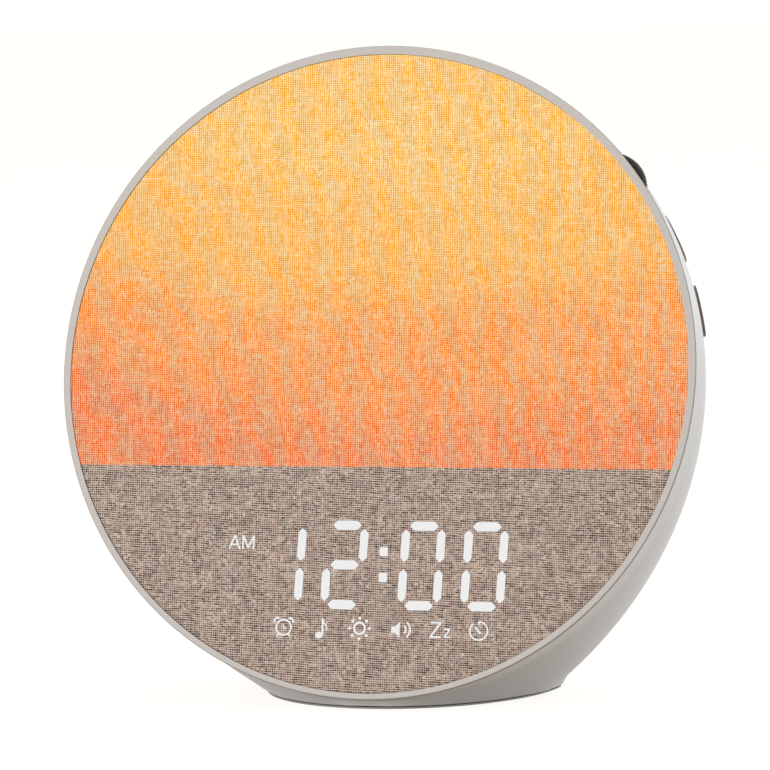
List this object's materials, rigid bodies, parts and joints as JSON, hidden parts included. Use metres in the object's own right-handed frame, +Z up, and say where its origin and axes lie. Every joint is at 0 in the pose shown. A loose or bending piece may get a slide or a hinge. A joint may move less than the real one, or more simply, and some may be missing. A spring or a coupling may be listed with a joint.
{
  "type": "sunrise alarm clock",
  "caption": "Sunrise alarm clock with a tilted round fabric front that glows above a numeric display, on a moulded housing with a small oval foot, side buttons and a thumbwheel.",
  "frame": {"origin": "middle of the foot's resting face", "axes": "+Z up, the face looks along -Y and leans back, +X to the right of the face as it is seen"},
  "size_m": [0.1706, 0.0859, 0.1701],
  "materials": {
    "housing": "satin",
    "bezel": "satin",
    "linen": "matte",
    "diffuser": "satin",
    "window": "gloss",
    "black": "matte",
    "reflector": "gloss",
    "board": "satin",
    "lamp": "satin",
    "lens": "gloss",
    "chip": "matte",
    "steel": "satin",
    "cone": "matte",
    "rubber": "matte",
    "knurl": "matte",
    "button": "satin",
    "switch": "satin",
    "magnet": "satin"
  },
  "bodies": {
    "clock": {"rear_housing": "housing", "front_bezel": "bezel", "fabric_cover": "linen", "light_diffuser": "diffuser", "display_window": "window", "divider_gasket": "black", "reflector_tray": "reflector", "led_board": "board", "sunrise_leds": "lamp", "display_frame": "black", "digit_lenses": "lens", "icon_lenses": "lens", "display_board": "board", "display_leds": "lamp", "main_board": "board", "main_chips": "chip", "memory_cell": "steel", "cell_holder": "black", "speaker_grille": "housing", "speaker_frame": "magnet", "speaker_cone": "cone", "speaker_magnet": "magnet", "power_jack": "black", "foot_pad": "rubber", "housing_screws": "steel", "front_screws": "steel", "small_screws": "steel", "wheel_encoder": "switch", "wheel_board": "board", "right_switches": "switch", "left_switches": "switch", "snooze_switch": "switch", "right_switch_board": "board", "left_switch_board": "board", "snooze_board": "board", "board_leads": "black"},
    "wheel": {"volume_wheel": "knurl", "wheel_shaft": "steel"},
    "snooze": {"snooze_bar": "button", "snooze_plunger": "black"},
    "upper_right": {"upper_right_button": "button", "upper_right_plunger": "black"},
    "lower_right": {"lower_right_button": "button", "lower_right_plunger": "black"},
    "upper_left": {"upper_left_button": "button", "upper_left_plunger": "black"},
    "lower_left": {"lower_left_button": "button", "lower_left_plunger": "black"}
  },
  "joints": [
    {"name": "wheel_turn", "type": "hinge", "parent": "clock", "child": "wheel", "pos_m": [0.06002, -0.00321, 0.13281], "axis": [0, 0.9796, -0.2011], "continuous": true},
    {"name": "upper_right_press", "type": "slide", "parent": "clock", "child": "upper_right", "axis": [-0.9415, -0.0678, -0.3302], "range_m": [0, 0.0004], "stiffness_N_per_m": 1200, "springref_m": -0.0008},
    {"name": "lower_right_press", "type": "slide", "parent": "clock", "child": "lower_right", "axis": [-0.9415, -0.0678, -0.3302], "range_m": [0, 0.0004], "stiffness_N_per_m": 1200, "springref_m": -0.0008},
    {"name": "upper_left_press", "type": "slide", "parent": "clock", "child": "upper_left", "axis": [0.9415, -0.0678, -0.3302], "range_m": [0, 0.0004], "stiffness_N_per_m": 1200, "springref_m": -0.0008},
    {"name": "lower_left_press", "type": "slide", "parent": "clock", "child": "lower_left", "axis": [0.9415, -0.0678, -0.3302], "range_m": [0, 0.0004], "stiffness_N_per_m": 1200, "springref_m": -0.0008},
    {"name": "snooze_press", "type": "slide", "parent": "clock", "child": "snooze", "axis": [0, -0.2011, -0.9796], "range_m": [0, 0.0004], "stiffness_N_per_m": 1200, "springref_m": -0.0008}
  ]
}
